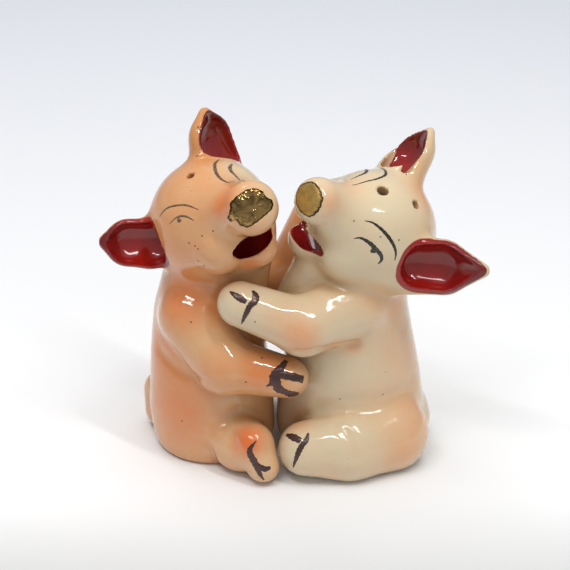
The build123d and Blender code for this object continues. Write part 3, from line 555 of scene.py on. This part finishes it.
def glaze(name, cream, peach, amber, shade):
    """Clear gloss glaze over airbrushed colour and painted crease shade, with red enamel in ears and mouth."""
    t = Nodes(name)
    blush_and_painted_light, hot_and_painted_shade, red, tone, crease_shade = (t.attr(x) for x in ("blush_and_painted_light", "hot_and_painted_shade", "red", "tone", "crease_shade"))
    cloud = t.noise(150.0, 4.0, 0.55, 0.3)
    grain = t.noise(2600.0, 2.0, 0.6)
    drift = t.noise(420.0, 3.0, 0.6)
    wander = t.math("MULTIPLY_ADD", cloud, 0.42, -0.21)
    spray = t.math("MULTIPLY_ADD", grain, 0.16, -0.08)
    amount = t.math("ADD", t.math("ADD", blush_and_painted_light, wander), spray, clamp=True)
    colour = t.mix(amount, cream, peach)
    heat = t.math("MULTIPLY", t.math("ADD", hot_and_painted_shade, t.math("MULTIPLY_ADD", drift, 0.30, -0.15)), t.span(hot_and_painted_shade, 0.02, 0.16), clamp=True)
    colour = t.mix(heat, colour, amber)
    # painted shade: creases are mixed towards the darker shade colour
    colour = t.mix(t.span(crease_shade, 0.05, 0.95, 0.0, 0.55), colour, shade)
    # fine dark flecks in the glaze
    v = t.add("ShaderNodeTexVoronoi", feature="F1", distance="EUCLIDEAN")
    v.inputs["Scale"].default_value = 300.0
    v.inputs["Randomness"].default_value = 1.0
    t.wire(t.place(), v.inputs["Vector"])
    fleck = t.math("MULTIPLY", t.span(v.outputs["Distance"], 0.030, 0.060, 1.0, 0.0), t.span(t.noise(90.0, 1.0), 0.56, 0.62), clamp=True)
    colour = t.mix(t.math("MULTIPLY", fleck, 0.55), colour, (0.10, 0.055, 0.03))
    # enamel
    edge = t.math("ADD", red, t.math("MULTIPLY_ADD", t.noise(500.0, 2.0), 0.24, -0.12))
    enamel = t.span(edge, 0.16, 0.36, 1.0, 0.0)
    deep = t.mix(t.math("ADD", tone, t.math("MULTIPLY_ADD", drift, 0.5, -0.25), clamp=True), (0.060, 0.006, 0.010), (0.30, 0.009, 0.006))
    colour = t.mix(enamel, colour, deep)
    rough = t.math("MULTIPLY_ADD", drift, 0.10, 0.055)
    wave = t.math("ADD", t.math("MULTIPLY", t.noise(170.0, 2.0), 1.0), t.math("MULTIPLY", t.noise(700.0, 2.0), 0.16))
    normal = t.bump(wave, 0.35, 0.00045)
    return t.shader(colour, rough, normal, None, IOR=1.52, Subsurface_Weight=0.10, Subsurface_Scale=0.0012, Coat_Weight=0.35, Coat_Roughness=0.04)


MAT_SALT = glaze("salt_glaze_paint", (0.70, 0.55, 0.33), (0.64, 0.265, 0.095), (0.70, 0.150, 0.028), (0.36, 0.20, 0.06))
MAT_PEPPER = glaze("pepper_glaze_paint", (0.65, 0.555, 0.375), (0.72, 0.365, 0.175), (0.74, 0.22, 0.07), (0.40, 0.28, 0.12))


def gold_material(name, bright, dark, rough_a, rough_b, crinkle, metal):
    t = Nodes(name)
    rim = t.attr("rim")
    n1 = t.noise(560.0, 2.0, 0.5, 0.8)
    n2 = t.noise(3000.0, 2.0, 0.6)
    wear = t.span(t.math("ADD", rim, t.math("MULTIPLY_ADD", n2, 0.22, -0.11)), 0.86, 0.97)
    colour = t.mix(t.span(n1, 0.35, 0.70), bright, dark)
    colour = t.mix(wear, colour, (0.035, 0.018, 0.006))
    rough = t.span(n2, 0.3, 0.8, rough_a, rough_b)
    normal = t.bump(t.math("ADD", n1, t.math("MULTIPLY", n2, 0.08)), crinkle, 0.0006)
    return t.shader(colour, rough, normal, None, Metallic=metal, IOR=1.5)


MAT_GOLD_S = gold_material("salt_gold_lustre", (0.50, 0.31, 0.11), (0.15, 0.095, 0.038), 0.08, 0.18, 0.50, 1.0)
MAT_GOLD_P = gold_material("pepper_gold_lustre", (0.56, 0.36, 0.11), (0.43, 0.26, 0.07), 0.38, 0.55, 0.25, 0.75)


def line_material(name, colour, other, metal, rough):
    t = Nodes(name)
    n = t.noise(1500.0, 3.0, 0.6)
    return t.shader(t.mix(t.span(n, 0.35, 0.7), colour, other), t.span(n, 0.3, 0.7, rough * 0.8, rough * 1.4),
                    t.bump(n, 0.3, 0.0002), None, Metallic=metal, IOR=1.5)


MAT_LINE_S = line_material("salt_line_enamel", (0.105, 0.062, 0.036), (0.17, 0.105, 0.065), 0.0, 0.25)
MAT_LINE_P = line_material("pepper_line_enamel", (0.020, 0.018, 0.017), (0.055, 0.042, 0.034), 0.0, 0.2)
MAT_HOOF = line_material("hoof_lustre", (0.115, 0.062, 0.048), (0.065, 0.040, 0.045), 0.55, 0.22)
MAT_SPECK = line_material("kiln_specks", (0.20, 0.105, 0.055), (0.13, 0.06, 0.03), 0.0, 0.4)


def cork_material():
    t = Nodes("natural_cork")
    v = t.add("ShaderNodeTexVoronoi", feature="F1")
    v.inputs["Scale"].default_value = 1400.0
    t.wire(t.place(), v.inputs["Vector"])
    n = t.noise(900.0, 4.0, 0.65)
    pit = t.span(t.noise(500.0, 3.0, 0.7), 0.60, 0.68)
    colour = t.mix(t.span(n, 0.3, 0.75), (0.58, 0.37, 0.19), (0.40, 0.235, 0.11))
    colour = t.mix(t.math("MULTIPLY", v.outputs["Distance"], 0.35), colour, (0.70, 0.50, 0.30))
    colour = t.mix(pit, colour, (0.12, 0.06, 0.03))
    height = t.math("SUBTRACT", n, t.math("MULTIPLY", pit, 0.8))
    return t.shader(colour, t.span(n, 0.3, 0.7, 0.75, 0.92), t.bump(height, 0.7, 0.0004), None, IOR=1.45)


# ------------------------------------------------------------------ pigs
def paint(P, N, g, f, base, spots):
    blush_and_painted_light = np.full(len(P), base, np.float32)
    hot_and_painted_shade = np.zeros(len(P), np.float32)
    for c, r, b, h in spots:
        w = np.exp(-((P - A(*c)) ** 2).sum(1) / (r * r))
        blush_and_painted_light += w * b
        hot_and_painted_shade = np.maximum(hot_and_painted_shade, w * h)
    # Painted shade: where a short probe along the normal meets the pig again, in creases and between parts, the glaze
    # gets more blush and, in glaze(), a mix towards the shade colour.
    near = np.clip(1 - chunked(f, P + N * 1.6) / 1.6, 0, 1)
    wide = np.clip(1 - chunked(f, P + N * 3.4) / 3.4, 0, 1)
    crease_shade = np.clip(0.5 * near + 0.7 * wide, 0, 1)
    blush_and_painted_light += 0.35 * crease_shade
    return blush_and_painted_light, hot_and_painted_shade, crease_shade


def pig(name, g, body, material, base, spots, lo, hi):
    f = field(g)
    verts, faces = skin(f, lo, hi, GRID)
    verts, _ = settle(f, verts, 2, 0.3 * GRID)
    d, normals = gradient(f, verts, 0.10)
    ob = mesh_object(name, verts, faces, True, normals)
    blush_and_painted_light, hot_and_painted_shade, crease_shade = paint(verts, normals, g, f, base, spots)
    red = mouth(verts, g)
    for key in ("near_ear", "far_ear"):
        e = g[key]
        away = np.maximum(0.25 - normals @ unit(e["n"]), 0)
        red = np.minimum(red, ear(verts, **e)[1] - g["enamel"][key] + 3.0 * away)
    tone = np.full(len(verts), 0.55, np.float32)
    for e, a, b in ((g["near_ear"], 1.10, -0.75), (g["far_ear"], 0.95, -0.65)):
        p0, p1 = np.array(e["base"]), np.array(e["tip"])
        L = np.linalg.norm(p1 - p0)
        u = ((verts - p0) @ ((p1 - p0) / L)) / L
        close = np.linalg.norm(verts - (p0 + p1) / 2, axis=1) < L * 0.85
        tone = np.where(close, np.clip(a + b * np.clip(u, 0, 1.1), 0.05, 1), tone)
    inside = ((verts - A(*g["bore"], 0))[:, :2] ** 2).sum(1) < 49.5
    for key, value in (("blush_and_painted_light", blush_and_painted_light), ("hot_and_painted_shade", hot_and_painted_shade), ("crease_shade", crease_shade), ("red", red), ("tone", tone)):
        attribute(ob, key, value)
    ob.data.materials.append(material)
    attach(ob, body)
    who = name.split("_")[0]
    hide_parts(*[who + "_" + n for n in ("torso_shell", "head_shell", "snout", "near_ear", "far_ear", "near_arm",
                                               "far_arm", "near_leg", "far_leg", "tail")])
    return ob, f


salt, salt_f = pig("salt_pig_glazed_body", SALT, "salt_pig", MAT_SALT, 0.80, SALT_BLUSH_AND_PAINTED_LIGHT, (-40.5, -23.5, -1.5), (12.5, 20.5, 77.0))
pepper, pepper_f = pig("pepper_pig_glazed_body", PEPPER, "pepper_pig", MAT_PEPPER, 0.10, PEPPER_BLUSH_AND_PAINTED_LIGHT, (-15.5, -23.5, -1.5), (44.5, 21.5, 72.5))


# ------------------------------------------------------------------ raised paint and gold
def spline(points, widths, n):
    """Points and widths resampled along a Catmull-Rom curve."""
    p = np.array(points, float)
    w = np.array(widths, float)
    if len(w) != len(p):
        w = np.interp(np.linspace(0, 1, len(p)), np.linspace(0, 1, len(w)), w)
    q = np.concatenate([p, w[:, None]], 1)
    q = np.vstack([2 * q[0] - q[1], q, 2 * q[-1] - q[-2]])
    out = []
    for i in range(1, len(q) - 2):
        t = np.linspace(0, 1, n, endpoint=(i == len(q) - 3))[:, None]
        a, b, c, d = q[i - 1], q[i], q[i + 1], q[i + 2]
        out.append(0.5 * (2 * b + (c - a) * t + (2 * a - 5 * b + 4 * c - d) * t ** 2 + (3 * b - a - 3 * c + d) * t ** 3))
    return np.vstack(out)


def ribbon(f, points, widths, height=0.05, k=10):
    """A raised brush stroke: a closed tube, domed above the glaze and sunk into it below."""
    q = spline(points, widths, 7)
    P, N = settle(f, q[:, :3].astype(np.float32), 4, 1.0)
    w = np.maximum(q[:, 3], 0.04)
    wob = 1 + 0.10 * np.sin(np.arange(len(w)) * 1.7 + points[0][0])
    w = w * wob
    T = np.gradient(P, axis=0)
    T /= np.maximum(np.linalg.norm(T, axis=1, keepdims=True), 1e-6)
    S = np.cross(N, T)
    S /= np.maximum(np.linalg.norm(S, axis=1, keepdims=True), 1e-6)
    a = np.arange(k) * 2 * np.pi / k
    ring = (P[:, None] + S[:, None] * (w[:, None] * np.cos(a))[..., None]).reshape(-1, 3).astype(np.float32)
    ring, rn = settle(f, ring, 2, 0.6)
    lift = np.where(np.sin(a) > 0.01, height * np.sin(a), np.where(np.sin(a) < -0.01, -0.12, -0.01))
    ring = ring + rn * np.tile(lift, len(P))[:, None]
    n = len(P)
    verts = np.vstack([ring, ring[:k].mean(0), ring[-k:].mean(0)])
    faces = []
    for i in range(n - 1):
        for j in range(k):
            faces.append((i * k + j, i * k + (j + 1) % k, (i + 1) * k + (j + 1) % k, (i + 1) * k + j))
    for j in range(k):
        faces.append((n * k, (j + 1) % k, j))
        faces.append((n * k + 1, (n - 1) * k + j, (n - 1) * k + (j + 1) % k))
    return verts, faces


def dab(f, p, r, height=0.04, k=12):
    """A dot of colour, domed above the glaze and sunk into it below."""
    c, n = settle(f, A(*p)[None], 4, 1.0)
    c, n = c[0], n[0]
    s = unit(np.cross(n, (0.3, 0.2, 1.0)))
    t = np.cross(n, s)
    rows = []
    for q, lift in ((0.55, height), (1.0, 0.0), (0.8, -0.12)):
        a = np.arange(k) * 2 * np.pi / k
        rr = r * q * (1 + 0.12 * np.sin(3 * a + p[0]) + 0.07 * np.sin(5 * a + p[2]))
        ring = (c + s * (rr * np.cos(a))[:, None] + t * (rr * np.sin(a))[:, None]).astype(np.float32)
        ring, rn = settle(f, ring, 2, 0.5)
        rows.append(ring + rn * lift)
    verts = np.vstack(rows + [c + n * height, c - n * 0.12])
    faces = []
    for i in range(2):
        for j in range(k):
            faces.append((i * k + j, (i + 1) * k + j, (i + 1) * k + (j + 1) % k, i * k + (j + 1) % k))
    for j in range(k):
        faces.append((3 * k, j, (j + 1) % k))
        faces.append((3 * k + 1, 2 * k + (j + 1) % k, 2 * k + j))
    return verts, faces


def merged(name, parts, material, body):
    verts, faces, base = [], [], 0
    for v, f in parts:
        verts.append(v)
        faces += [tuple(i + base for i in face) for face in f]
        base += len(v)
    ob = mesh_object(name, np.vstack(verts), faces)
    ob.data.materials.append(material)
    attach(ob, body)
    return ob


FIELDS = {"salt": salt_f, "pepper": pepper_f}
for who in ("salt", "pepper"):
    f = FIELDS[who]
    lines = [ribbon(f, pts, w, 0.035) for o, kind, n, w, pts in STROKES if o == who and kind == "line"]
    lines += [dab(f, p, r) for o, kind, r, pts in DABS if o == who and kind == "line" for p in pts]
    merged(who + "_brows_and_lids", lines, MAT_LINE_S if who == "salt" else MAT_LINE_P, who + "_pig")
    hooves = [ribbon(f, pts, w, 0.07, 12) for o, kind, n, w, pts in STROKES if o == who and kind == "hoof"]
    merged(who + "_hoof_marks", hooves, MAT_HOOF, who + "_pig")
    specks = [dab(f, p, r * 0.8, 0.015) for o, kind, r, pts in DABS if o == who and kind == "speck" for p in pts]
    merged(who + "_kiln_specks", specks, MAT_SPECK, who + "_pig")


def gilding(name, g, f, outline, material, body, lift, crinkle):
    """Gold lustre over the snout: a closed skin with a wandering brushed edge."""
    ax = unit(g["snout"]["ax"])
    U = unit(np.cross((0, 0, 1), ax))
    V = np.cross(ax, U)
    o = np.array(outline, float)
    closed = np.vstack([o, o[:1]])
    seg = np.linalg.norm(np.diff(closed, axis=0), axis=1)
    s = np.concatenate([[0], np.cumsum(seg)])
    m = 96
    u = np.linspace(0, s[-1], m, endpoint=False)
    o = np.stack([np.interp(u, s, closed[:, 0]), np.interp(u, s, closed[:, 1])], 1)
    for _ in range(2):
        o = 0.25 * np.roll(o, 1, 0) + 0.5 * o + 0.25 * np.roll(o, -1, 0)
    mid = o.mean(0)
    o = mid + (o - mid) * (1 + 0.012 * np.sin(u * 5.1) + 0.014 * np.sin(u * 11.3 + 1.0))[:, None]
    rings = [0.0, 0.12, 0.25, 0.38, 0.5, 0.62, 0.73, 0.83, 0.91, 0.97, 1.0]
    pts, rim = [np.array(mid)[None]], [0.0]
    for q in rings[1:]:
        pts.append(mid + (o - mid) * q)
        rim += [q] * m
    uv = np.vstack(pts)
    rim = np.array(rim)
    P = (np.array(g["snout"]["c"]) + ax * 2.0 + U * uv[:, :1] + V * uv[:, 1:]).astype(np.float32)
    for _ in range(40):
        P = P - (ax * (np.clip(f(P), -0.5, 1.5) * 0.8)[:, None]).astype(np.float32)
    _, N = gradient(f, P)
    h = lift * (1 - rim ** 6) + crinkle * (np.sin(uv[:, 0] * 3.1 + 2 * np.sin(uv[:, 1] * 1.7)) + np.sin(uv[:, 1] * 4.3 + 1.5 * np.sin(uv[:, 0] * 2.3))) * (1 - rim ** 4)
    top = P + N * (h + 0.004)[:, None]
    low = P - N * 0.14
    n = len(P)
    verts = np.vstack([top, low])
    faces = []
    for j in range(m):
        k = (j + 1) % m
        faces.append((0, 1 + j, 1 + k))
        faces.append((n, n + 1 + k, n + 1 + j))
        for i in range(len(rings) - 2):
            a, b = 1 + i * m, 1 + (i + 1) * m
            faces.append((a + j, b + j, b + k, a + k))
            faces.append((n + a + k, n + b + k, n + b + j, n + a + j))
        e = 1 + (len(rings) - 2) * m
        faces.append((e + j, n + e + j, n + e + k, e + k))
    ob = mesh_object(name, verts, faces)
    attribute(ob, "rim", np.concatenate([rim, np.ones(n)]))
    ob.data.materials.append(material)
    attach(ob, body)
    return ob


gilding("salt_snout_gilding", SALT, salt_f, SALT_GOLD, MAT_GOLD_S, "salt_pig", 0.10, 0.035)
gilding("pepper_snout_gilding", PEPPER, pepper_f, PEPPER_GOLD, MAT_GOLD_P, "pepper_pig", 0.05, 0.006)

# ------------------------------------------------------------------ corks stay as the CAD has them
MAT_CORK = cork_material()
for n in ("salt_stopper", "pepper_stopper"):
    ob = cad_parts[n]
    ob.data.materials.clear()
    ob.data.materials.append(MAT_CORK)

# ------------------------------------------------------------------ floor, light and camera
def floor():
    rings, m = [0.0, 0.1, 0.3, 0.7, 1.5, 3.5], 64
    verts, faces = [(0.0, 0.0, -0.0001)], []
    for r in rings[1:]:
        verts += [(r * math.cos(2 * math.pi * j / m), r * math.sin(2 * math.pi * j / m), -0.0001) for j in range(m)]
    for j in range(m):
        faces.append((0, 1 + j, 1 + (j + 1) % m))
        for i in range(len(rings) - 2):
            a, b = 1 + i * m, 1 + (i + 1) * m
            faces.append((a + j, b + j, b + (j + 1) % m, a + (j + 1) % m))
    me = bpy.data.meshes.new("pale_floor")
    me.from_pydata(verts, [], faces)
    ob = bpy.data.objects.new("pale_floor", me)
    bpy.context.scene.collection.objects.link(ob)
    t = Nodes("pale_floor_paper")
    sep = t.add("ShaderNodeSeparateXYZ")
    t.wire(t.place(), sep.inputs[0])
    far = t.span(sep.outputs["Y"], -0.05, 0.42)
    # painted shade: the floor darkens from the pair's front edge forwards
    near = t.span(sep.outputs["Y"], -0.018, -0.056)
    colour = t.mix(far, (0.86, 0.862, 0.865), (0.74, 0.765, 0.83))
    colour = t.mix(near, colour, (0.62, 0.625, 0.62))
    n = t.noise(60.0, 3.0)
    colour = t.mix(t.span(n, 0.3, 0.7, 0.0, 0.03), colour, (0.8, 0.82, 0.86))
    me.materials.append(t.shader(colour, 0.75, None, None, IOR=1.3))


floor()


def area(name, place, target, size, power, colour=(1, 1, 1), sy=None):
    la = bpy.data.lights.new(name, "AREA")
    la.shape = "RECTANGLE" if sy else "SQUARE"
    la.size = size
    if sy:
        la.size_y = sy
    la.energy = power
    la.color = colour
    ob = bpy.data.objects.new(name, la)
    bpy.context.scene.collection.objects.link(ob)
    ob.location = place
    ob.rotation_euler = (Vector(target) - Vector(place)).to_track_quat("-Z", "Y").to_euler()
    return ob


area("softbox_top", (-0.06, 0.02, 0.85), (0, 0.02, 0.0), 0.75, 4.1, (1.0, 0.99, 0.97)).visible_glossy = False
area("gloss_card", (-0.20, 0.30, 0.70), (0, 0, 0.03), 0.16, 0.30, (1, 1, 1))
area("softbox_front", (0.30, -0.85, 0.45), (0, 0, 0.03), 0.5, 0.9, (1.0, 0.99, 0.98)).visible_glossy = False
area("strip_a", (-0.12, -0.22, 0.50), (0.0, 0.0, 0.03), 0.30, 0.60, (1, 1, 1), 0.014)
area("strip_b", (0.16, -0.16, 0.46), (0.0, 0.0, 0.03), 0.014, 0.50, (1, 1, 1), 0.22)

world = bpy.data.worlds.new("studio")
bpy.context.scene.world = world
world.use_nodes = True
wt = world.node_tree
bg = wt.nodes["Background"]
bg.inputs["Color"].default_value = (0.95, 0.97, 1.0, 1.0)
bg.inputs["Strength"].default_value = 0.40

bpy.context.scene.view_settings.view_transform = "Standard"

cam = bpy.data.cameras.new("camera")
cam.sensor_width = 36.0
cam.lens = 36.0 * 1800.0 / 570.0
cam.clip_start, cam.clip_end = 0.01, 20.0
cam_ob = bpy.data.objects.new("camera", cam)
bpy.context.scene.collection.objects.link(cam_ob)
tilt = math.radians(27.0)
look = Vector((0.0, math.cos(tilt), -math.sin(tilt)))
up = Vector((0.0, math.sin(tilt), math.cos(tilt)))
centre = -400.0 * look - Vector((1, 0, 0)) * (-2.0 / 4.5) + up * (150.0 / 4.5)
cam_ob.location = (centre + Vector(SHIFT)) / 1000.0
cam_ob.rotation_euler = look.to_track_quat("-Z", "Y").to_euler()
bpy.context.scene.camera = cam_ob
